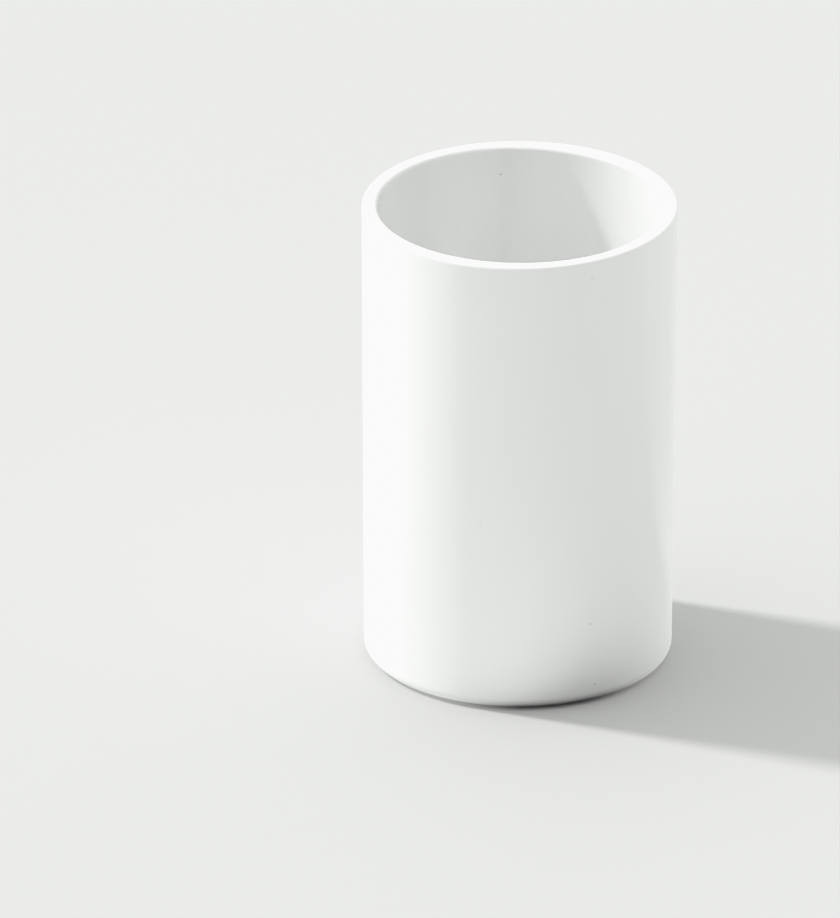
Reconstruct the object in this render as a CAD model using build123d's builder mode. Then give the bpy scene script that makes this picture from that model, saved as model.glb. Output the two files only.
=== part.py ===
from build123d import *
import os
from math import cos, radians, sin, tan

# Desk pen cup: one thick-walled moulding that stands on four stick-on bumper feet.
#
# Millimetres, +Z up. The origin is the centre of the resting plane, where the feet touch the desk.
# The cup's axis is +Z and -Y is its front.
#
# Pieces, from the top down:
#   cup_shell           tapered wall, rounded lip, thick floor and recessed underside, in one moulding
#   adhesive_disc_...   the film that bonds each bumper into its pocket
#   foot_...            soft round bumper, seated in a shallow pocket of the underside recess

os.makedirs("parts", exist_ok=True)

# ---------------------------------------------------------------- overall size
mouth_diameter = 71.4        # across the outside of the mouth, the widest place
overall_height = 110.0       # desk to lip, feet included
foot_stand_off = 0.4         # how far the feet hold the moulding off the desk
draft_angle = 0.35           # degrees on each side, so that the moulding leaves its tool

# ---------------------------------------------------------------- cup shell
wall = 3.5                   # measured level, the same all the way down
floor_thickness = 5.0        # base ring plane to inner floor
lip_outer_radius = 0.8
lip_inner_radius = 1.1
base_edge_radius = 2.2       # rounding where the wall turns under
floor_corner_radius = 5.0    # inside corner between wall and floor

recess_diameter = 60.0       # underside recess at its ceiling; a narrow base ring surrounds it
recess_depth = 1.0
recess_draft = 0.25          # gain in radius from the ceiling to the base ring plane
recess_root_radius = 0.45
recess_edge_radius = 0.35

gate_well_diameter = 9.0     # shallow well round the moulding gate, at the centre of the underside
gate_well_depth = 0.35
gate_well_draft = 0.3        # gain in radius towards the desk
gate_well_overcut = 0.2      # the cutter starts this far below the recess ceiling
gate_nub_diameter = 2.2      # what is left of the gate, hanging from the well's ceiling
gate_nub_height = 0.25
gate_nub_taper = 0.1         # loss in radius towards the desk

# ---------------------------------------------------------------- bumper feet
foot_names = ("back_right", "back_left", "front_left", "front_right")
foot_first_angle = 45.0      # the first foot's place round the axis, counted from +X
foot_circle_radius = 23.6    # feet centres from the cup's axis
foot_diameter = 9.0          # at the bonded face
foot_taper = 0.35            # the bumper is this much smaller in radius at the desk
foot_edge_radius = 0.5       # rounding at the desk
foot_bond_edge = 0.15        # chamfer round the bonded face
adhesive_diameter = 8.6
adhesive_thickness = 0.15
pocket_diameter = 9.5        # locating pocket for one bumper
pocket_depth = 0.4
pocket_edge = 0.12           # chamfer round the pocket's mouth

# ---------------------------------------------------------------- derived
base_z = foot_stand_off                        # plane of the moulding's base ring
recess_z = base_z + recess_depth               # ceiling of the underside recess
pocket_z = recess_z + pocket_depth             # ceiling of a pocket, where the adhesive bonds
bond_z = pocket_z - adhesive_thickness         # bonded face of a bumper
inner_floor_z = base_z + floor_thickness
top_z = overall_height

slope = tan(radians(draft_angle))
mouth_radius = mouth_diameter / 2
base_radius = mouth_radius - (top_z - base_z) * slope
bore_top_radius = mouth_radius - wall
bore_floor_radius = bore_top_radius - (top_z - inner_floor_z) * slope
recess_radius = recess_diameter / 2
pocket_radius = pocket_diameter / 2
foot_step = 360 / len(foot_names)

# Half profile of the shell: (distance from the axis, height), rounding of that corner
shell_corners = [
    ((0, recess_z), 0),
    ((recess_radius, recess_z), recess_root_radius),
    ((recess_radius + recess_draft, base_z), recess_edge_radius),
    ((base_radius, base_z), base_edge_radius),
    ((mouth_radius, top_z), lip_outer_radius),
    ((bore_top_radius, top_z), lip_inner_radius),
    ((bore_floor_radius, inner_floor_z), floor_corner_radius),
    ((0, inner_floor_z), 0),
]

# Half profile of the gate well's cutter, which leaves the nub standing: (distance, height)
gate_well_radius = gate_well_diameter / 2
gate_well_mouth_radius = gate_well_radius + gate_well_draft
gate_nub_radius = gate_nub_diameter / 2
gate_cutter_z = recess_z - gate_well_overcut
gate_well_z = recess_z + gate_well_depth
gate_nub_z = gate_well_z - gate_nub_height
gate_cutter_points = [
    (0, gate_cutter_z),
    (gate_well_mouth_radius, gate_cutter_z),
    (gate_well_mouth_radius, recess_z),
    (gate_well_radius, gate_well_z),
    (gate_nub_radius, gate_well_z),
    (gate_nub_radius - gate_nub_taper, gate_nub_z),
    (0, gate_nub_z),
]


def is_pocket_mouth(edge):
    """True for a circular edge of pocket size that lies in the recess ceiling."""
    tolerance = 1e-3
    in_ceiling = abs(edge.center().Z - recess_z) < tolerance
    return in_ceiling and abs(edge.radius - pocket_radius) < tolerance


def make_cup_shell():
    with BuildPart() as shell:
        with BuildSketch(Plane.XZ) as profile:
            with BuildLine():
                Polyline([point for point, _ in shell_corners], close=True)
            make_face()
            # Each fillet renews the sketch, so each corner is looked up afresh.
            for point, rounding in shell_corners:
                if rounding:
                    corner = profile.vertices().sort_by_distance(Vector(*point, 0))[0]
                    fillet(corner, radius=rounding)
        revolve(axis=Axis.Z)

        # locating pockets for the bumpers, cut up into the recess ceiling
        with BuildSketch(Plane.XY.offset(recess_z)):
            with PolarLocations(foot_circle_radius, len(foot_names), start_angle=foot_first_angle):
                Circle(pocket_radius)
        extrude(amount=pocket_depth, mode=Mode.SUBTRACT)
        circles = shell.edges().filter_by(GeomType.CIRCLE)
        chamfer(circles.filter_by(is_pocket_mouth), length=pocket_edge)

        # gate well, with the nub left in it
        with BuildSketch(Plane.XZ):
            with BuildLine():
                Polyline(gate_cutter_points, close=True)
            make_face()
        revolve(axis=Axis.Z, mode=Mode.SUBTRACT)
    return shell.part


def make_foot(desk_plane):
    """Short cone that widens upwards to its bonded face and stands clear of the pocket's side."""
    with BuildPart() as foot:
        with BuildSketch(desk_plane):
            Circle(foot_diameter / 2 - foot_taper)
        with BuildSketch(desk_plane.offset(bond_z)):
            Circle(foot_diameter / 2)
        loft()
        desk_rim = foot.edges().filter_by(GeomType.CIRCLE).sort_by(Axis.Z)[0]
        fillet(desk_rim, radius=foot_edge_radius)
        bond_rim = foot.edges().filter_by(GeomType.CIRCLE).sort_by(Axis.Z)[-1]
        chamfer(bond_rim, length=foot_bond_edge)
    return foot.part


def make_adhesive_disc(desk_plane):
    """Film between a bumper's bonded face and its pocket's ceiling."""
    with BuildPart() as adhesive:
        with BuildSketch(desk_plane.offset(bond_z)):
            Circle(adhesive_diameter / 2)
        extrude(amount=adhesive_thickness)
    return adhesive.part


def export_piece(part, name):
    part.label = name
    export_step(part, f"parts/{name}.step")


export_piece(make_cup_shell(), "cup_shell")

for index, place in enumerate(foot_names):
    angle = radians(foot_first_angle + index * foot_step)
    centre = (foot_circle_radius * cos(angle), foot_circle_radius * sin(angle), 0)
    desk_plane = Plane(origin=centre, x_dir=(1, 0, 0), z_dir=(0, 0, 1))
    export_piece(make_foot(desk_plane), "foot_" + place)
    export_piece(make_adhesive_disc(desk_plane), "adhesive_disc_" + place)
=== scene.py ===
"""A round, gloss white moulded pen cup on four rubber feet.

The cup's axis is the Z axis and its mouth is up. The front is -Y and the right is +X. The feet sit
in pockets in the recessed underside, each held by an adhesive disc. Lengths are in metres.
"""
import math
from functools import reduce

import bpy
import numpy as np
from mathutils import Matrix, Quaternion, Vector


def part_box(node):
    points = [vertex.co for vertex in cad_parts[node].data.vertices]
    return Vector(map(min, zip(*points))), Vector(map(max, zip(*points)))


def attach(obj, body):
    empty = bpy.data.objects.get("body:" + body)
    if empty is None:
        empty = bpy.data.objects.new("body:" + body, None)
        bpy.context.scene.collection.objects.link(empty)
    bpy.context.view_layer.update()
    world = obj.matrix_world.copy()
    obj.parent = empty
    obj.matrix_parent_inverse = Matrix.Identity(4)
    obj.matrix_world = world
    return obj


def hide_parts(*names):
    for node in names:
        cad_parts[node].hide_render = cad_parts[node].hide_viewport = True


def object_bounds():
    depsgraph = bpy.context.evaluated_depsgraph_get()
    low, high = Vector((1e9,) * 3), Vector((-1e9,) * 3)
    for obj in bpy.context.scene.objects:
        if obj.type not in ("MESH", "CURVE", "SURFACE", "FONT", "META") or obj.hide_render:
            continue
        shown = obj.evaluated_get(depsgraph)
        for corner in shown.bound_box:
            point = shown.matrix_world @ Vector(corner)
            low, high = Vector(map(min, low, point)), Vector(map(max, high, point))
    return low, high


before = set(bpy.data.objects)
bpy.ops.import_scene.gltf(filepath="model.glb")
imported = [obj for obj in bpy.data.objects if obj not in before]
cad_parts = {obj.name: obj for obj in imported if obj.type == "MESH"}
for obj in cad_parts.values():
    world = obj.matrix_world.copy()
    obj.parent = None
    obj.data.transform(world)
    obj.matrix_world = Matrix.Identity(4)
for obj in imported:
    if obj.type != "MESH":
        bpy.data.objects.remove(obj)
cad_low, cad_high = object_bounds()

MM = 0.001
# one foot in each quarter, counter-clockwise seen from above, starting from +X
PLACES = ("back_right", "back_left", "front_left", "front_right")

# ---------------------------------------------------------------- sizes
shell_low, shell_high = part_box("cup_shell")
TOP = shell_high.z
BASE = shell_low.z
MOUTH_R = (shell_high.x - shell_low.x) / 2

DRAFT = math.tan(math.radians(0.35))    # how far the wall leans out per unit of height
WALL = 3.5 * MM
LIP_OUT, LIP_IN = 0.8 * MM, 1.1 * MM    # roundings of the lip
BASE_EDGE = 2.2 * MM                    # rounding round the outside of the base
FLOOR_FILLET = 5.0 * MM                 # rounding between the bore and the inner floor
INNER_FLOOR = BASE + 5.0 * MM
BASE_R = MOUTH_R - (TOP - BASE) * DRAFT
BORE_TOP_R = MOUTH_R - WALL
BORE_FLOOR_R = BORE_TOP_R - (TOP - INNER_FLOOR) * DRAFT
FLAT_FLOOR_R = 26.0 * MM                # where the turned profile ends on the inner floor

RECESS_R = 30.0 * MM                    # the recess in the underside
RECESS_Z = BASE + 1.0 * MM
BASE_RING_R = RECESS_R + 1.4 * MM       # where the wall's profile meets the recess's profile
CEILING_OUT_R = RECESS_R - 1.0 * MM     # the flat of the recess that holds the pockets
CEILING_IN_R = 11.0 * MM
POCKET_MOUTH_R = 4.87 * MM
POCKET_R = 4.75 * MM
POCKET_Z = RECESS_Z + 0.4 * MM
WELL_Z = RECESS_Z + 0.35 * MM           # roof of the gate well
GATE_Z = RECESS_Z + 0.10 * MM           # end of the trimmed gate

SEGMENTS = 320                          # round the wall
WELL_SEGMENTS = 96                      # round the gate well
PAD_SEGMENTS = 96                       # round a foot or an adhesive disc
SPOKE_STEPS = 18                        # along each line between two quarters of the recess
POCKET_LOOPS = 7                        # from a quarter's outline to its pocket

UV_SCALE = 3.57421875                   # texture units per metre, the same on the whole shell
UV_MARGIN = 0.0078125
UV_DISC_R = 35.2 * MM                   # room for each of the two round islands
UNDER_SPREAD = 1.35 * MM                # added to a base radius to unroll the recess's side


# ---------------------------------------------------------------- profiles
def corner_arc(before, corner, after, arc_step):
    """The points of the arc that rounds one (radius, z, rounding) corner."""
    tip, rounding = np.array(corner[:2], float), corner[2]
    back = np.array(before[:2], float) - tip
    ahead = np.array(after[:2], float) - tip
    back, ahead = back / np.linalg.norm(back), ahead / np.linalg.norm(ahead)
    turn = math.pi - math.acos(max(-1, min(1, float(back @ ahead))))
    reach = rounding * math.tan(turn / 2)
    bisector = (back + ahead) / np.linalg.norm(back + ahead)
    centre = tip + bisector * (rounding / math.cos(turn / 2))
    first, last = tip + back * reach - centre, tip + ahead * reach - centre
    sign = 1.0 if first[0] * last[1] - first[1] * last[0] > 0 else -1.0
    steps = max(3, int(math.ceil(math.degrees(turn) / arc_step)))
    arc = []
    for k in range(steps + 1):
        angle = sign * turn * k / steps
        cos, sin = math.cos(angle), math.sin(angle)
        offset = (cos * first[0] - sin * first[1], sin * first[0] + cos * first[1])
        arc.append(centre + np.array(offset))
    return arc


def rounded(corners, max_step=2.6 * MM, arc_step=11.25, hold=0.12 * MM):
    """A polyline of (radius, z) points with each inner corner turned into an arc of steps up to
    arc_step degrees, holding points beside each arc, and long runs divided."""
    arcs = [corner_arc(*corners[i - 1:i + 2], arc_step) for i in range(1, len(corners) - 1)]
    arcs.append([np.array(corners[-1][:2], float)])
    points = [np.array(corners[0][:2], float)]
    for arc in arcs:
        start, end = points[-1], arc[0]
        length = float(np.linalg.norm(end - start))
        if length > 1e-9:
            if length > 4 * hold:
                run = length - 2 * hold
                steps = int(math.ceil(run / max_step))
                for k in range(steps + 1):
                    points.append(start + (end - start) * (hold + run * k / steps) / length)
            points.append(end)
        points.extend(arc[1:])
    return np.array(points)


def arc_lengths(profile):
    return np.r_[0, np.cumsum(np.linalg.norm(np.diff(profile, axis=0), axis=1))]


def nearest(profile, radius, z):
    return int(np.argmin(np.hypot(profile[:, 0] - radius, profile[:, 1] - z)))


# ---------------------------------------------------------------- mesh tools
def add_object(name, data):
    ob = bpy.data.objects.new(name, data)
    bpy.context.scene.collection.objects.link(ob)
    return ob


class Builder:
    """Collects points, faces and one UV pair per face corner, then makes an object."""

    def __init__(self):
        self.points, self.faces, self.uvs = [], [], []

    def add(self, points):
        first = len(self.points)
        self.points.extend([tuple(map(float, point)) for point in points])
        return list(range(first, len(self.points)))

    def face(self, ids, uvs, flip):
        order = -1 if flip else 1
        self.faces.append(tuple(ids[::order]))
        self.uvs.append([tuple(map(float, uv)) for uv in uvs[::order]])

    def make(self, name, material):
        mesh = bpy.data.meshes.new(name)
        mesh.from_pydata(self.points, [], self.faces)
        layer = mesh.uv_layers.new(name="OFBake")
        flat = np.array([value for face in self.uvs for uv in face for value in uv], np.float32)
        layer.data.foreach_set("uv", flat)
        mesh.polygons.foreach_set("use_smooth", [True] * len(mesh.polygons))
        mesh.validate(clean_customdata=False)
        mesh.update()
        mesh.materials.append(material)
        weight_normals(mesh)
        return add_object(name, mesh)


def weight_normals(mesh):
    """Weights vertex normals by face area, so that flats beside small roundings shade flat."""
    normals = np.zeros((len(mesh.vertices), 3))
    for face in mesh.polygons:
        normals[list(face.vertices)] += np.array(face.normal) * face.area
    lengths = np.linalg.norm(normals, axis=1, keepdims=True)
    normals = normals / np.maximum(lengths, 1e-20)
    mesh.normals_split_custom_set_from_vertices([tuple(normal) for normal in normals])


def ring(builder, radius, z, count, centre=(0.0, 0.0), wobble=None):
    angles = np.arange(count) * 2 * math.pi / count
    radii = np.full(count, radius) if wobble is None else radius + wobble(angles, z)
    return builder.add(np.c_[centre[0] + radii * np.cos(angles),
                             centre[1] + radii * np.sin(angles), np.full(count, z)])


def bands(builder, rings, uv_at, span=None, flip=False):
    """Quads between neighbouring rings of equal count, for all rings or those from first to last.
    uv_at(i) gives ring i's UVs, with one more entry than the ring to close the seam."""
    first, last = span or (0, len(rings) - 1)
    for i in range(first, last):
        lower, upper = rings[i], rings[i + 1]
        lower_uv, upper_uv = uv_at(i), uv_at(i + 1)
        for k in range(len(lower)):
            j = (k + 1) % len(lower)
            builder.face([lower[k], lower[j], upper[j], upper[k]],
                         [lower_uv[k], lower_uv[k + 1], upper_uv[k + 1], upper_uv[k]], flip)


def cap(builder, loop, loop_uv, flip=False):
    """Fills a round loop of 4 * side points with a square grid, by blending its four sides."""
    side = len(loop) // 4
    points = np.array([builder.points[i] for i in loop])
    uvs = np.array(loop_uv[:len(loop)])
    grid, grid_uv = {}, {}
    for i in range(side + 1):
        for k, cell in enumerate(((0, i), (i, side), (side, side - i), (side - i, 0))):
            at = (k * side + i) % len(loop)
            grid[cell], grid_uv[cell] = loop[at], uvs[at]

    def blend(values, row, column):
        across, along = column / side, row / side
        bottom, top = values[column], values[3 * side - column]
        right, left = values[side + row], values[4 * side - row]
        return ((1 - along) * bottom + along * top + (1 - across) * left + across * right
                - ((1 - across) * (1 - along) * values[0] + across * (1 - along) * values[side]
                   + across * along * values[2 * side]
                   + (1 - across) * along * values[3 * side]))

    for row in range(1, side):
        for column in range(1, side):
            grid[row, column] = builder.add([blend(points, row, column)])[0]
            grid_uv[row, column] = blend(uvs, row, column)
    for row in range(side):
        for column in range(side):
            cells = [(row, column), (row, column + 1), (row + 1, column + 1), (row + 1, column)]
            builder.face([grid[cell] for cell in cells], [grid_uv[cell] for cell in cells], flip)


def disc_uv(centre, radius, count):
    angles = np.arange(count + 1) * 2 * math.pi / count
    return [(centre[0] + radius * math.cos(angle), centre[1] + radius * math.sin(angle))
            for angle in angles]


def strip_uv(v, width):
    return [(UV_MARGIN + width * k / SEGMENTS, v) for k in range(SEGMENTS + 1)]


# ---------------------------------------------------------------- shell
# how the moulded wall wanders: amplitude in mm, waves round the axis, phase, drift with height
WOBBLES = [
    (0.016, 2, 0.7, 0.0), (0.010, 3, 2.1, 0.5), (0.0045, 7, 1.3, -0.8),
    (0.0022, 13, 4.0, 0.9), (0.0009, 23, 0.4, 0.0),
]


def mould_wobble(angles, z):
    """The wall's wander at one height. The lip and the base stay true."""
    height = (z - BASE) / (TOP - BASE)
    free = np.clip(height / 0.12, 0, 1) * np.clip((1 - height) / 0.06, 0, 1)
    free = free * free * (3 - 2 * free)
    wander = sum(amplitude * np.cos(waves * angles + phase + drift * height)
                 for amplitude, waves, phase, drift in WOBBLES)
    return wander * MM * free


def build_wall(builder):
    """The base ring, outer wall, lip, bore and inner floor. Returns the innermost base ring and
    the middle of the underside's texture island."""
    profile = rounded([
        (BASE_RING_R, BASE),
        (BASE_R, BASE, BASE_EDGE),
        (MOUTH_R, TOP, LIP_OUT),
        (BORE_TOP_R, TOP, LIP_IN),
        (BORE_FLOOR_R, INNER_FLOOR, FLOOR_FILLET),
        (FLAT_FLOOR_R, INNER_FLOOR),
    ])
    rings = [ring(builder, radius, z, SEGMENTS, wobble=mould_wobble) for radius, z in profile]
    arc = arc_lengths(profile)

    # the points of the profile where its texture islands meet
    lip = nearest(profile, (MOUTH_R - LIP_OUT + BORE_TOP_R + LIP_IN) / 2, TOP)
    base_end = nearest(profile, BASE_R - 2.15 * MM, BASE)
    not_bore = 10 * (profile[:, 0] > BORE_TOP_R)
    bore_end = int(np.argmin(np.abs(profile[:, 1] - (INNER_FLOOR + FLOOR_FILLET)) + not_bore))

    # two strips at the top of the texture, two discs down its right side
    outside_v = 1 - UV_MARGIN - (arc[lip] - arc[base_end]) * UV_SCALE
    bore_top_v = outside_v - UV_MARGIN
    bore_v = bore_top_v - (arc[bore_end] - arc[lip]) * UV_SCALE
    disc = UV_DISC_R * UV_SCALE
    floor_at = (1 - UV_MARGIN - disc, bore_top_v - disc - UV_MARGIN)
    under_at = (floor_at[0], floor_at[1] - 2 * disc - UV_MARGIN)

    def base_uv(i):
        return disc_uv(under_at, (profile[i][0] + UNDER_SPREAD) * UV_SCALE, SEGMENTS)

    def outside_uv(i):
        return strip_uv(outside_v + (arc[i] - arc[base_end]) * UV_SCALE,
                        2 * math.pi * MOUTH_R * UV_SCALE)

    def bore_uv(i):
        return strip_uv(bore_v + (arc[i] - arc[lip]) * UV_SCALE,
                        2 * math.pi * BORE_TOP_R * UV_SCALE)

    def floor_uv(i):
        return disc_uv(floor_at, (FLAT_FLOOR_R + arc[-1] - arc[i]) * UV_SCALE, SEGMENTS)

    bands(builder, rings, base_uv, span=(0, base_end))
    bands(builder, rings, outside_uv, span=(base_end, lip))
    bands(builder, rings, bore_uv, span=(lip, bore_end))
    bands(builder, rings, floor_uv, span=(bore_end, len(rings) - 1))

    # the flat middle of the inner floor
    radii = [FLAT_FLOOR_R, FLAT_FLOOR_R * 0.93]
    flat = [rings[-1], ring(builder, radii[1], INNER_FLOOR, SEGMENTS)]
    flat_uvs = [disc_uv(floor_at, radius * UV_SCALE, SEGMENTS) for radius in radii]
    bands(builder, flat, lambda i: flat_uvs[i])
    cap(builder, flat[1], flat_uvs[1])
    return rings[0], under_at


def build_recess_side(builder, base_ring, under_at):
    """From the base ring up into the recess. Returns the outer ring of the recess's ceiling and
    the ceiling's texture units per metre."""
    profile = rounded([
        (BASE_RING_R, BASE),
        (RECESS_R + 0.25 * MM, BASE, 0.35 * MM),
        (RECESS_R, RECESS_Z, 0.45 * MM),
        (CEILING_OUT_R, RECESS_Z),
    ], arc_step=15, hold=0.08 * MM)
    rings = [base_ring]
    rings += [ring(builder, radius, z, SEGMENTS) for radius, z in profile[1:]]
    unrolled = (BASE_RING_R + UNDER_SPREAD - arc_lengths(profile)) * UV_SCALE
    bands(builder, rings, lambda i: disc_uv(under_at, unrolled[i], SEGMENTS), flip=True)
    return rings[-1], unrolled[-1] / CEILING_OUT_R


def build_spokes(builder, inner_ring, outer_ring):
    """The four lines of points, inside to outside, that part the quarters of the ceiling."""
    spokes = []
    for quarter in range(4):
        angle = quarter * math.pi / 2
        ids = [inner_ring[quarter * WELL_SEGMENTS // 4]]
        for k in range(1, SPOKE_STEPS):
            radius = CEILING_IN_R + (CEILING_OUT_R - CEILING_IN_R) * k / SPOKE_STEPS
            ids += builder.add([(radius * math.cos(angle), radius * math.sin(angle), RECESS_Z)])
        ids.append(outer_ring[quarter * SEGMENTS // 4])
        spokes.append(ids)
    return spokes


def quarter_outline(quarter, inner_ring, outer_ring, spokes):
    """Counter-clockwise seen from above: outer arc, spoke in, inner arc, spoke out."""
    outer, inner = SEGMENTS // 4, WELL_SEGMENTS // 4
    outline = [outer_ring[(quarter * outer + k) % SEGMENTS] for k in range(outer + 1)]
    outline += spokes[(quarter + 1) % 4][::-1][1:]
    outline += [inner_ring[(quarter * inner + k) % WELL_SEGMENTS]
                for k in range(inner - 1, -1, -1)]
    return outline + spokes[quarter][1:-1]


def build_quarter(builder, outline, centre, under_at, scale):
    """One quarter of the recess's ceiling, wrapped round its pocket, and the pocket."""
    count = len(outline)
    edge = np.array([builder.points[i] for i in outline])[:, :2]
    centre = np.array(centre)
    # the mean of true angle and even spacing, weighted so that no quad folds
    true = np.unwrap(np.arctan2(edge[:, 1] - centre[1], edge[:, 0] - centre[0]))
    step = np.linalg.norm(np.roll(edge, -1, axis=0) - edge, axis=1)
    even = true[0] + 2 * math.pi * np.r_[0, np.cumsum(step)[:-1]] / step.sum()
    angles = 0.55 * true + 0.45 * even
    ways = np.c_[np.cos(angles), np.sin(angles)]

    loops = [outline]
    for k in range(1, POCKET_LOOPS + 1):
        inward = (k / POCKET_LOOPS) ** 0.85
        plan = edge * (1 - inward) + (centre + POCKET_MOUTH_R * ways) * inward
        loops.append(builder.add(np.c_[plan, np.full(count, RECESS_Z)]))

    def plan_uv(i):
        ids = loops[i] + loops[i][:1]
        return np.array([builder.points[k][:2] for k in ids]) * scale + under_at

    bands(builder, loops, plan_uv, flip=True)

    # the pocket: an edge break, its wall, a rounded root and its flat roof, as (radius, z)
    profile = np.array([
        (POCKET_MOUTH_R, RECESS_Z),
        (4.83 * MM, RECESS_Z + 0.012 * MM),
        (4.785 * MM, RECESS_Z + 0.045 * MM),
        (POCKET_R, RECESS_Z + 0.12 * MM),
        (POCKET_R, POCKET_Z - 0.06 * MM),
        (POCKET_R - 0.018 * MM, POCKET_Z - 0.018 * MM),
        (POCKET_R - 0.06 * MM, POCKET_Z),
        (POCKET_R * 0.9, POCKET_Z),
    ])
    rings = [loops[-1]]
    for radius, z in profile[1:]:
        rings.append(builder.add(np.c_[centre + radius * ways, np.full(count, z)]))
    arc = arc_lengths(profile)
    total = arc[-1] + profile[-1][0]
    middle_uv = centre * scale + under_at
    rim_uv = plan_uv(-1)

    def pocket_uv(i):
        return middle_uv + (rim_uv - middle_uv) * ((total - arc[i]) / total)

    bands(builder, rings, pocket_uv, flip=True)
    cap(builder, rings[-1], pocket_uv(-1), flip=True)


def build_gate_well(builder, inner_ring, under_at, scale):
    """The well at the centre of the underside, with what is left of the trimmed gate."""
    profile = rounded([
        (CEILING_IN_R, RECESS_Z),
        (4.8 * MM, RECESS_Z, 0.08 * MM),
        (4.5 * MM, WELL_Z, 0.12 * MM),
        (1.15 * MM, WELL_Z, 0.06 * MM),
        (1.1 * MM, GATE_Z, 0.08 * MM),
        (0.7 * MM, GATE_Z),
    ], arc_step=22.5, hold=0.04 * MM)
    rings = [inner_ring]
    rings += [ring(builder, radius, z, WELL_SEGMENTS) for radius, z in profile[1:]]
    arc = arc_lengths(profile)
    total = arc[-1] + profile[-1][0]

    def well_uv(i):
        return disc_uv(under_at, CEILING_IN_R * scale * (1 - arc[i] / total), WELL_SEGMENTS)

    bands(builder, rings, well_uv, flip=True)
    cap(builder, rings[-1], well_uv(-1), flip=True)


def middle_of(box):
    low, high = box
    return (low.x + high.x) / 2, (low.y + high.y) / 2


def build_shell(material):
    builder = Builder()
    base_ring, under_at = build_wall(builder)
    outer_ring, scale = build_recess_side(builder, base_ring, under_at)
    inner_ring = ring(builder, CEILING_IN_R, RECESS_Z, WELL_SEGMENTS)
    spokes = build_spokes(builder, inner_ring, outer_ring)
    for quarter, place in enumerate(PLACES):
        outline = quarter_outline(quarter, inner_ring, outer_ring, spokes)
        build_quarter(builder, outline, middle_of(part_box("foot_" + place)), under_at, scale)
    build_gate_well(builder, inner_ring, under_at, scale)
    return builder.make("pen_cup_shell", material)


# ---------------------------------------------------------------- feet and their adhesive
PAD_CAP_R = 0.9 * MM        # the gridded middle of each round face


def turned(name, profile, centre, material):
    """A closed body about a vertical axis, from a profile that starts on its top face."""
    builder = Builder()
    rings = [ring(builder, radius, z, PAD_SEGMENTS, centre=centre) for radius, z in profile]
    arc = arc_lengths(profile)
    rim = int(np.argmax(profile[:, 0]))
    top_reach = PAD_CAP_R + arc
    low_reach = PAD_CAP_R + arc[-1] - arc
    # top and bottom islands lie side by side, each just inside half of the texture
    scale = 0.47 / max(top_reach[rim], low_reach[rim]) / 2

    def top_uv(i):
        return disc_uv((0.25, 0.5), top_reach[i] * scale, PAD_SEGMENTS)

    def low_uv(i):
        return disc_uv((0.75, 0.5), low_reach[i] * scale, PAD_SEGMENTS)

    bands(builder, rings, top_uv, span=(0, rim), flip=True)
    bands(builder, rings, low_uv, span=(rim, len(rings) - 1), flip=True)
    cap(builder, rings[0], top_uv(0))
    cap(builder, rings[-1], low_uv(-1), flip=True)
    return builder.make(name, material)


def build_foot(place, material):
    """A soft bumper: bonded face up, tapering to a tread with a slightly dished middle."""
    low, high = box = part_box("foot_" + place)
    bond_r = (high.x - low.x) / 2
    tread_r = bond_r - 0.35 * MM
    dish_z = low.z + 0.05 * MM
    profile = rounded([
        (PAD_CAP_R, high.z),
        (bond_r, high.z, 0.12 * MM),
        (tread_r + 0.02 * MM, low.z, 0.5 * MM),
        (tread_r - 1.6 * MM, low.z, 0.25 * MM),
        (tread_r - 2.0 * MM, dish_z, 0.25 * MM),
        (PAD_CAP_R, dish_z),
    ], max_step=0.7 * MM, arc_step=15, hold=0.05 * MM)
    return turned("bumper_" + place, profile, middle_of(box), material)


def build_film(place, material):
    low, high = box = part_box("adhesive_disc_" + place)
    radius = (high.x - low.x) / 2
    profile = rounded([
        (PAD_CAP_R, high.z),
        (radius, high.z, 0.03 * MM),
        (radius, low.z, 0.03 * MM),
        (PAD_CAP_R, low.z),
    ], max_step=0.9 * MM, arc_step=30, hold=0.03 * MM)
    return turned("bond_film_" + place, profile, middle_of(box), material)


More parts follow.
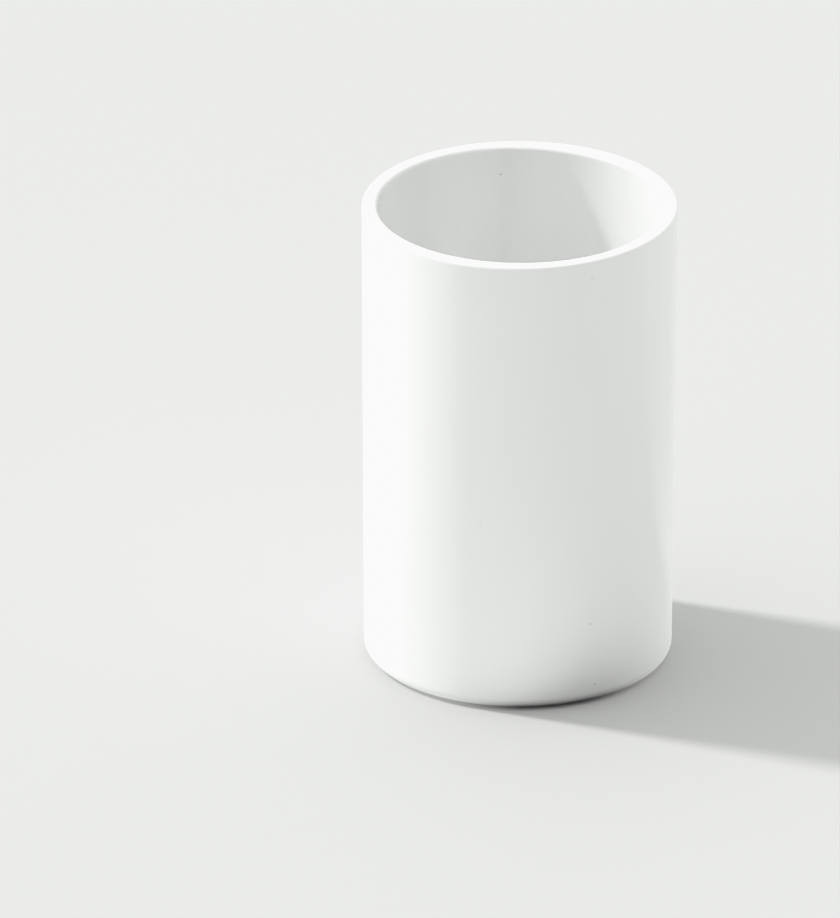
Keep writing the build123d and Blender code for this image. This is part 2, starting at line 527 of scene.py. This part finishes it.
# ---------------------------------------------------------------- node tools
class Nodes:
    """Adds nodes to one emptied tree. Its short methods return output sockets."""

    def __init__(self, tree):
        self.tree = tree
        tree.nodes.clear()

    def node(self, kind, inputs=None, **settings):
        node = self.tree.nodes.new("ShaderNode" + kind)
        for key, value in settings.items():
            setattr(node, key, value)
        for key, value in (inputs or {}).items():
            self.put(node.inputs[key], value)
        return node

    def put(self, socket, value):
        if isinstance(value, bpy.types.NodeSocket):
            self.tree.links.new(value, socket)
        elif value is not None:
            socket.default_value = value

    def math(self, operation, *values, clamp=False):
        inputs = dict(enumerate(values))
        return self.node("Math", inputs, operation=operation, use_clamp=clamp).outputs[0]

    def plus(self, first, second):
        return self.math("ADD", first, second)

    def minus(self, first, second):
        return self.math("SUBTRACT", first, second)

    def times(self, first, second):
        return self.math("MULTIPLY", first, second)

    def divide(self, value, by, clamp=False):
        return self.math("DIVIDE", value, by, clamp=clamp)

    def scaled(self, value, times, plus):
        return self.math("MULTIPLY_ADD", value, times, plus)

    def below(self, value, limit):
        return self.math("LESS_THAN", value, limit)

    def above(self, value, limit):
        return self.math("GREATER_THAN", value, limit)

    def from_axis(self, x, y):
        return self.math("SQRT", self.plus(self.times(x, x), self.times(y, y)))

    def along(self, x, y, way):
        """How far (x, y) lies along a level direction."""
        return self.plus(self.times(x, way.x), self.times(y, way.y))

    def vector(self, operation, output, inputs):
        return self.node("VectorMath", inputs, operation=operation).outputs[output]

    def stretch(self, vector, scale, offset=(0, 0, 0)):
        inputs = {"Vector": vector, "Scale": scale, "Location": offset}
        return self.node("Mapping", inputs).outputs[0]

    def noise(self, vector, scale, detail=2.0, roughness=0.5):
        inputs = {"Vector": vector, "Scale": scale, "Detail": detail, "Roughness": roughness}
        return self.node("TexNoise", inputs).outputs["Fac"]

    def voronoi(self, vector, scale):
        node = self.node("TexVoronoi", {"Vector": vector, "Scale": scale})
        return node.outputs["Distance"], node.outputs["Color"]

    def ramp(self, value, low, high, start=0.0, end=1.0, smooth=True):
        """Goes from start to end as the value goes from low to high."""
        inputs = {"Value": value, "From Min": low, "From Max": high,
                  "To Min": start, "To Max": end}
        kind = "SMOOTHSTEP" if smooth else "LINEAR"
        return self.node("MapRange", inputs, interpolation_type=kind).outputs["Result"]

    def mix(self, amount, under, over):
        """Lays one colour over another. Each is a socket or an RGB triple."""
        under, over = (colour if isinstance(colour, bpy.types.NodeSocket) else (*colour, 1.0)
                       for colour in (under, over))
        inputs = {0: amount, 6: under, 7: over}
        return self.node("Mix", inputs, data_type="RGBA", blend_type="MIX").outputs[2]

    def bump(self, height, depth, normal=None):
        inputs = {"Strength": 1.0, "Distance": depth, "Height": height, "Normal": normal}
        return self.node("Bump", inputs).outputs[0]

    def split(self, vector):
        return self.node("SeparateXYZ", {0: vector}).outputs

    def choose(self, amount, first, second):
        return self.node("MixShader", {0: amount, 1: first, 2: second}).outputs[0]

    def camera_ray(self):
        return self.node("LightPath").outputs["Is Camera Ray"]


class Material(Nodes):
    """The nodes of a new material round one principled shader."""

    def __init__(self, name):
        self.material = bpy.data.materials.new(name)
        self.material.use_nodes = True
        super().__init__(self.material.node_tree)
        self.surface = self.node("OutputMaterial").inputs["Surface"]
        self.shader = self.node("BsdfPrincipled")
        self.put(self.surface, self.shader.outputs[0])
        self.place = self.node("TexCoord").outputs["Object"]

    def finish(self, colour, roughness, normal=None, ior=None, specular=None):
        for key, value in (("Base Color", colour), ("Roughness", roughness), ("IOR", ior),
                           ("Specular IOR Level", specular), ("Normal", normal)):
            self.put(self.shader.inputs[key], value)
        return self.material


# ---------------------------------------------------------------- materials
# small moulding marks on the wall: x, y, z and radius in mm, and strength
MARKS = [
    (-4.2, 31.9, 103.2, 0.26, 0.85), (16.2, -31.2, 20.0, 0.30, 0.60),
    (17.3, -30.4, 4.7, 0.30, 0.60), (16.2, -31.8, 105.8, 0.62, 0.10),
    (-8.8, -34.2, 45.9, 0.55, 0.10),
]
# painted reflection: soft upright lighter and darker streaks on the inside that stand in for
# reflections in the bore:
# azimuth from the back towards the right and half-width, both in degrees, and strength
PAINTED_REFLECTION_STREAKS = [(-44.0, 6.0, -0.022), (-27.0, 8.0, 0.010), (-5.5, 4.5, -0.022), (9.0, 6.0, 0.008)]


def painted_streak_tone(nodes, azimuth, centre, half, strength):
    """One painted reflection streak: a bell curve of lighter or darker tone round its azimuth."""
    off = nodes.divide(nodes.minus(azimuth, centre), by=half)
    return nodes.times(nodes.math("EXPONENT", nodes.times(nodes.times(off, off), -1.0)), strength)


def shell_material():
    nodes = Material("gloss_white_moulding")
    place = nodes.place
    # tone: a very slow drift, and faint draw lines that run up the wall
    drift = nodes.noise(place, scale=22.0)
    upright = nodes.stretch(place, scale=(1.0, 1.0, 0.035))
    lines = nodes.noise(upright, scale=210.0, detail=3.0, roughness=0.55)
    wide_lines = nodes.noise(upright, scale=62.0)
    tone = nodes.mix(nodes.ramp(drift, low=0.35, high=0.65),
                     under=(0.858, 0.862, 0.858), over=(0.872, 0.874, 0.869))
    tone = nodes.mix(nodes.ramp(lines, low=0.40, high=0.66, end=0.30),
                     under=tone, over=(0.846, 0.854, 0.848))
    tone = nodes.mix(nodes.ramp(wide_lines, low=0.42, high=0.66, end=0.35),
                     under=tone, over=(0.882, 0.882, 0.876))
    # sparse specks in the resin, and the marks that have a place of their own
    distance, cell = nodes.voronoi(place, scale=115.0)
    chosen = nodes.ramp(nodes.split(cell)[0], low=0.955, high=0.957, smooth=False)
    size = nodes.scaled(nodes.split(cell)[1], times=0.022, plus=0.008)
    speck = nodes.times(nodes.below(distance, size), chosen)
    speck_strength = 0.45
    tone = nodes.mix(nodes.times(speck, speck_strength), under=tone, over=(0.40, 0.39, 0.35))
    for (x, y, z, radius, strength) in MARKS:
        away = nodes.vector("DISTANCE", "Value", {0: place, 1: (x * MM, y * MM, z * MM)})
        mark = nodes.ramp(away, low=radius * MM * 0.45, high=radius * MM, start=1.0, end=0.0)
        tone = nodes.mix(nodes.times(mark, strength), under=tone, over=(0.42, 0.42, 0.38))
    # the painted reflection streaks scale the tone up or down, show only in the bore and fade out
    # towards its floor
    x, y, z = nodes.split(place)
    inside = nodes.times(nodes.below(nodes.from_axis(x, y), limit=BORE_TOP_R + 0.2 * MM),
                         nodes.above(z, limit=INNER_FLOOR - 0.2 * MM))
    azimuth = nodes.times(nodes.math("ARCTAN2", x, y), 180 / math.pi)
    streaks = reduce(nodes.plus, (painted_streak_tone(nodes, azimuth, *streak) for streak in PAINTED_REFLECTION_STREAKS))
    reflection_gain = nodes.scaled(nodes.times(streaks, inside),
                        times=nodes.ramp(z, low=30 * MM, high=70 * MM), plus=1.0)
    tone = nodes.vector("SCALE", "Vector", {0: tone, "Scale": reflection_gain})
    # gloss: polished tool finish, slightly uneven
    haze_at = nodes.stretch(place, scale=(1, 1, 1), offset=(0.3, 0.1, 0.2))
    haze = nodes.noise(haze_at, scale=34.0, detail=4.0, roughness=0.6)
    fine = nodes.noise(place, scale=900.0)
    rough = nodes.scaled(haze, times=0.05, plus=0.135)
    rough = nodes.scaled(fine, times=0.02, plus=rough)
    rough = nodes.scaled(nodes.ramp(lines, low=0.45, high=0.7), times=0.02, plus=rough)
    # inside, below the middle, the pens have rubbed fine scuffs
    low_down = nodes.ramp(z, low=12 * MM, high=60 * MM, start=1.0, end=0.0)
    scuff_at = nodes.stretch(place, scale=(1.0, 1.0, 0.10))
    scuff = nodes.noise(scuff_at, scale=620.0, detail=4.0, roughness=0.7)
    scuff = nodes.times(nodes.ramp(scuff, low=0.56, high=0.70), low_down)
    scuff = nodes.times(scuff, inside)
    rough = nodes.scaled(scuff, times=0.16, plus=rough)
    # the underside is duller
    under = nodes.ramp(z, low=BASE + 0.05 * MM, high=BASE + 1.3 * MM, start=1.0, end=0.0)
    rough = nodes.scaled(under, times=0.12, plus=rough)
    # relief: soft orange peel, draw lines, a fine tooth and the scuffs
    normal = nodes.bump(nodes.noise(place, scale=330.0), depth=0.0065 * MM)
    normal = nodes.bump(lines, depth=0.004 * MM, normal=normal)
    tooth = nodes.noise(place, scale=2400.0, roughness=0.6)
    normal = nodes.bump(tooth, depth=0.0006 * MM, normal=normal)
    normal = nodes.bump(scuff, depth=0.002 * MM, normal=normal)
    return nodes.finish(tone, rough, normal, ior=1.50)


def rubber_material():
    nodes = Material("bumper_rubber")
    place = nodes.place
    soil_strength, lint_strength = 0.55, 0.5
    mottle = nodes.noise(place, scale=520.0, detail=4.0, roughness=0.6)
    tone = nodes.mix(nodes.ramp(mottle, low=0.35, high=0.7),
                     under=(0.50, 0.515, 0.505), over=(0.60, 0.61, 0.60))
    # soil on the tread
    z = nodes.split(place)[2]
    tread = nodes.ramp(z, low=0.0, high=0.35 * MM, start=1.0, end=0.0)
    patches = nodes.noise(place, scale=1500.0, detail=3.0, roughness=0.65)
    soil = nodes.times(tread, nodes.ramp(patches, low=0.42, high=0.62))
    tone = nodes.mix(nodes.times(soil, soil_strength), under=tone, over=(0.30, 0.29, 0.27))
    # pale lint
    distance, cell = nodes.voronoi(place, scale=2600.0)
    lint = nodes.times(nodes.below(distance, limit=0.16),
                       nodes.ramp(nodes.split(cell)[0], low=0.93, high=0.94, smooth=False))
    tone = nodes.mix(nodes.times(lint, lint_strength), under=tone, over=(0.78, 0.77, 0.74))
    rough = nodes.scaled(soil, times=0.15, plus=0.42)
    rough = nodes.scaled(mottle, times=0.18, plus=rough)
    grain = nodes.noise(place, scale=1900.0, detail=3.0, roughness=0.6)
    normal = nodes.bump(grain, depth=0.006 * MM)
    tooth = nodes.noise(place, scale=7000.0, roughness=0.6)
    normal = nodes.bump(tooth, depth=0.0015 * MM, normal=normal)
    return nodes.finish(tone, rough, normal, ior=1.48)


def film_material():
    nodes = Material("adhesive_film")
    place = nodes.place
    bubble_strength = 0.6
    cloud = nodes.noise(place, scale=700.0, detail=4.0, roughness=0.65)
    tone = nodes.mix(nodes.ramp(cloud, low=0.35, high=0.68),
                     under=(0.74, 0.72, 0.63), over=(0.82, 0.80, 0.73))
    distance, cell = nodes.voronoi(place, scale=1400.0)
    bubble = nodes.times(nodes.ramp(distance, low=0.12, high=0.22, start=1.0, end=0.0),
                         nodes.ramp(nodes.split(cell)[1], low=0.80, high=0.82, smooth=False))
    tone = nodes.mix(nodes.times(bubble, bubble_strength), under=tone, over=(0.88, 0.87, 0.83))
    rough = nodes.scaled(cloud, times=0.25, plus=0.30)
    normal = nodes.bump(cloud, depth=0.008 * MM)
    normal = nodes.bump(bubble, depth=0.01 * MM, normal=normal)
    return nodes.finish(tone, rough, normal)


# ---------------------------------------------------------------- pieces
def register(ob, piece):
    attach(ob, "root")
    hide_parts(piece)


shell_mat, rubber_mat, film_mat = shell_material(), rubber_material(), film_material()
register(build_shell(shell_mat), "cup_shell")
for place in PLACES:
    register(build_foot(place, rubber_mat), "foot_" + place)
    register(build_film(place, film_mat), "adhesive_disc_" + place)


# ---------------------------------------------------------------- stage
# Azimuth 0 is the front (-Y), 90 the right (+X). Angles are in degrees.
FLOOR_TONE = 0.542
BACKDROP_TONE = 0.84        # what the camera sees past the floor's edge
KEY_STRENGTH, KEY_AT, KEY_SPREAD = 2.262, (-110, 42), 5.0
TINT = (0.981, 1.0, 0.973, 1.0)  # the fill light is very slightly green, the key is neutral

# A soft studio all round, of broad overlapping panels: azimuth, elevation, tightness, brightness
PANELS = [
    (0, 8, 8, 0.10), (45, 8, 8, 0.08), (90, 8, 8, 0.43), (135, 8, 8, 0.62),
    (180, 8, 8, 0.62), (225, 8, 8, 0.62), (270, 8, 8, 0.64), (315, 8, 8, 0.50),
    (30, 42, 6, 0.21), (90, 42, 6, 0.44), (150, 42, 6, 0.45), (210, 42, 6, 0.45),
    (270, 42, 6, 0.66), (330, 42, 6, 0.50), (0, 90, 5, 1.10),
]
# What the pale table gives back to the cup: one row per distance in RING_AT, and twelve
# directions from the front round by the right. It is dark only in the cup's own shadow.
RING_AT = [0.038, 0.048, 0.070, 0.125, 0.280]
GLOW = [
    [0.05, 0.00, 0.46, 0.60, 0.58, 0.57, 0.57, 0.58, 0.60, 0.72, 0.68, 0.68],
    [0.84, 0.10, 0.54, 0.64, 0.62, 0.58, 0.58, 0.58, 0.60, 0.62, 0.57, 0.81],
    [1.02, 0.77, 0.66, 0.69, 0.70, 0.60, 0.59, 0.59, 0.60, 0.62, 0.53, 0.72],
    [0.76, 0.64, 0.59, 0.67, 0.72, 0.62, 0.60, 0.60, 0.60, 0.71, 0.66, 0.73],
    [0.64, 0.62, 0.72, 0.83, 0.74, 0.62, 0.60, 0.60, 0.60, 0.74, 0.73, 0.70],
]
LOBE_TIGHTNESS = 12.0       # of each of the twelve directions
UNDER_GLOW = 0.72           # the even glow that lights the underside
# The two edges of the cup's shadow: azimuth of the bright side and of the way the edge runs,
# distance from the axis, height of the step, how far it fades, and where along the edge it
# begins and is full.
EDGES = [
    (-22.0, 68.0, 0.0357, 0.30, 0.011, -0.004, 0.014),
    (180.0, 90.0, 0.0310, 0.34, 0.022, 0.045, 0.080),
]


def toward(azimuth, elevation):
    azimuth, elevation = math.radians(azimuth), math.radians(elevation)
    level = math.cos(elevation)
    return Vector((math.sin(azimuth) * level, -math.cos(azimuth) * level, math.sin(elevation)))


def ring_weights(nodes, radius):
    """How much each row of GLOW counts, blended in the logarithm of distance."""
    log_radius = nodes.math("LOGARITHM", radius, math.e)
    rises = []
    for near, far in zip(RING_AT, RING_AT[1:]):
        near, far = math.log(near), math.log(far)
        rises.append(nodes.divide(nodes.minus(log_radius, near), by=far - near, clamp=True))
    weights = [nodes.minus(1.0, rises[0])]
    weights += [nodes.minus(rises[i], rises[i + 1]) for i in range(3)]
    return weights + [rises[3]]


def shadow_edge(nodes, x, y, bright, run, offset, height, reach, start, full):
    """A soft step across one edge of the shadow, wider further along the edge."""
    across = nodes.minus(nodes.along(x, y, toward(bright, 0.0)), offset)
    along = nodes.along(x, y, toward(run, 0.0))
    width = nodes.scaled(nodes.math("MAXIMUM", along, 0.0), times=0.06, plus=0.002)
    soft = nodes.divide(across, by=width)
    side = nodes.divide(soft, by=nodes.math("SQRT", nodes.scaled(soft, times=soft, plus=1.0)))
    fade = nodes.times(nodes.math("ABSOLUTE", across), -1.0 / reach)
    fade = nodes.times(nodes.math("EXPONENT", fade), nodes.ramp(along, low=start, high=full))
    return nodes.times(nodes.times(side, fade), height)


def table_glow(nodes):
    """The table's glow as a function of place."""
    x, y, _ = nodes.split(nodes.place)
    radius = nodes.math("MAXIMUM", nodes.from_axis(x, y), 1e-4)
    weights = ring_weights(nodes, radius)

    def lobe(k):
        cosine = nodes.divide(nodes.along(x, y, toward(30.0 * k, 0.0)), by=radius)
        tight = nodes.times(nodes.minus(cosine, 1.0), LOBE_TIGHTNESS)
        shape = nodes.math("EXPONENT", tight)
        rows = (nodes.times(weight, row[k]) for weight, row in zip(weights, GLOW))
        return nodes.times(shape, reduce(nodes.plus, rows))

    total = reduce(nodes.plus, (lobe(k) for k in range(12)))
    # where the lit table meets the shadow, the step is crisper than the lobes can say
    for edge in EDGES:
        total = nodes.plus(total, shadow_edge(nodes, x, y, *edge))
    total = nodes.math("MAXIMUM", total, 0.0)
    # the glow is even right under the base, and everywhere for a camera that looks up
    under = nodes.ramp(radius, low=0.0270, high=0.0325, start=1.0, end=0.0)
    turn = nodes.node("VectorTransform", {0: (0.0, 0.0, 1.0)}, vector_type="VECTOR",
                      convert_from="WORLD", convert_to="CAMERA")
    looks_up = nodes.above(nodes.split(turn.outputs[0])[2], limit=0.0)
    under = nodes.math("MAXIMUM", under, looks_up)
    return nodes.plus(nodes.times(total, nodes.minus(1.0, under)),
                      nodes.times(under, UNDER_GLOW))


def floor_material():
    nodes = Material("pale_floor")
    nodes.finish((FLOOR_TONE, FLOOR_TONE, FLOOR_TONE, 1.0), roughness=0.6, specular=0.2)
    # the camera sees a plain matt sheet; the cup is lit by the sheet's glow
    glow = nodes.node("Emission", {"Color": TINT, "Strength": table_glow(nodes)}).outputs[0]
    sheet = nodes.choose(nodes.camera_ray(), glow, nodes.shader.outputs[0])
    # from below the sheet is clear, so that the underside can be looked at
    from_below = nodes.node("NewGeometry").outputs["Backfacing"]
    clear = nodes.node("BsdfTransparent").outputs[0]
    nodes.put(nodes.surface, nodes.choose(from_below, sheet, clear))
    return nodes.material


def build_floor():
    """A round sheet: a fan in the middle, then rings of quads."""
    radii, count = [0.06, 0.12, 0.25, 0.5, 1.0, 2.5, 9.0], 96
    points = [(0, 0, 0)]
    for radius in radii:
        for k in range(count):
            angle = k * 2 * math.pi / count
            points.append((radius * math.cos(angle), radius * math.sin(angle), 0))
    faces = [(0, 1 + k, 1 + (k + 1) % count) for k in range(count)]
    for j in range(len(radii) - 1):
        near, far = 1 + j * count, 1 + (j + 1) * count
        for k in range(count):
            after = (k + 1) % count
            faces.append((near + k, far + k, far + after, near + after))
    mesh = bpy.data.meshes.new("floor")
    mesh.from_pydata(points, [], faces)
    ob = add_object("floor", mesh)
    mesh.materials.append(floor_material())
    ob.location.z = cad_low.z - 0.03 * MM  # a hair under the treads, so that they shade cleanly


def build_key():
    sun = bpy.data.lights.new("key", "SUN")
    sun.energy = KEY_STRENGTH
    sun.angle = math.radians(KEY_SPREAD)
    ob = add_object("key", sun)
    ob.rotation_mode = "QUATERNION"
    ob.rotation_quaternion = toward(*KEY_AT).to_track_quat("Z", "Y")
    ob.location = toward(*KEY_AT) * 2


def build_world():
    world = bpy.data.worlds.new("studio")
    bpy.context.scene.world = world
    world.use_nodes = True
    nodes = Nodes(world.node_tree)
    output = nodes.node("OutputWorld")
    studio = nodes.node("Background", {"Color": TINT})
    direction = nodes.node("TexCoord").outputs["Generated"]

    def panel(azimuth, elevation, tightness, brightness):
        inputs = {0: direction, 1: toward(azimuth, elevation)}
        cosine = nodes.vector("DOT_PRODUCT", "Value", inputs)
        falloff = nodes.times(nodes.minus(cosine, 1.0), float(tightness))
        return nodes.times(nodes.math("EXPONENT", falloff), brightness)

    total = reduce(nodes.plus, (panel(*row) for row in PANELS))
    nodes.put(studio.inputs["Strength"], total)
    tone = (BACKDROP_TONE, BACKDROP_TONE, BACKDROP_TONE, 1)
    backdrop = nodes.node("Background", {"Color": tone})
    seen = nodes.choose(nodes.camera_ray(), studio.outputs[0], backdrop.outputs[0])
    nodes.put(output.inputs["Surface"], seen)


# ---------------------------------------------------------------- camera and picture
CAMERA_ELEVATION = 24.5
CAMERA_ROLL = 0.15
CAMERA_DISTANCE = 4.5
AIM_LEFT = 22.36574 * MM    # the camera aims left of the cup's middle
AIM_DOWN = 7.77249 * MM     # and below it

# the tone curve: straight, then a soft shoulder that ends white a little under full
CURVE_END = (1.35, 0.980)
CURVE = [
    (0.30, 0.30), (0.60, 0.60), (0.80, 0.80), (0.864, 0.862), (0.913, 0.897),
    (0.956, 0.934), (1.0, 0.957), (1.10, 0.966), (1.20, 0.972),
]


def build_camera():
    camera = bpy.data.cameras.new("camera")
    camera.sensor_width = 36.0
    camera.lens = 778.77
    camera.clip_start, camera.clip_end = 0.1, 60.0
    ob = add_object("camera", camera)
    bpy.context.scene.camera = ob
    back = toward(0, CAMERA_ELEVATION)
    up = toward(180, 90 - CAMERA_ELEVATION)
    aim = Vector((-AIM_LEFT, 0, (TOP + BASE) / 2)) - up * AIM_DOWN
    ob.location = aim + back * CAMERA_DISTANCE
    ob.rotation_mode = "QUATERNION"
    roll = Quaternion((0, 0, 1), math.radians(CAMERA_ROLL))
    ob.rotation_quaternion = back.to_track_quat("Z", "Y") @ roll


def set_picture(scene):
    view = scene.view_settings
    view.view_transform = "Standard"
    view.look = "None"
    view.use_curve_mapping = True
    mapping = view.curve_mapping
    mapping.use_clip = False
    points = mapping.curves[3].points
    points[0].location = (0.0, 0.0)
    points[1].location = CURVE_END
    for x, y in CURVE:
        points.new(x, y)
    for point in points:
        point.handle_type = "AUTO_CLAMPED"
    mapping.extend = "HORIZONTAL"
    mapping.update()
    scene.cycles.max_bounces = 16
    scene.cycles.diffuse_bounces = 12


build_floor()
build_key()
build_world()
build_camera()
set_picture(bpy.context.scene)
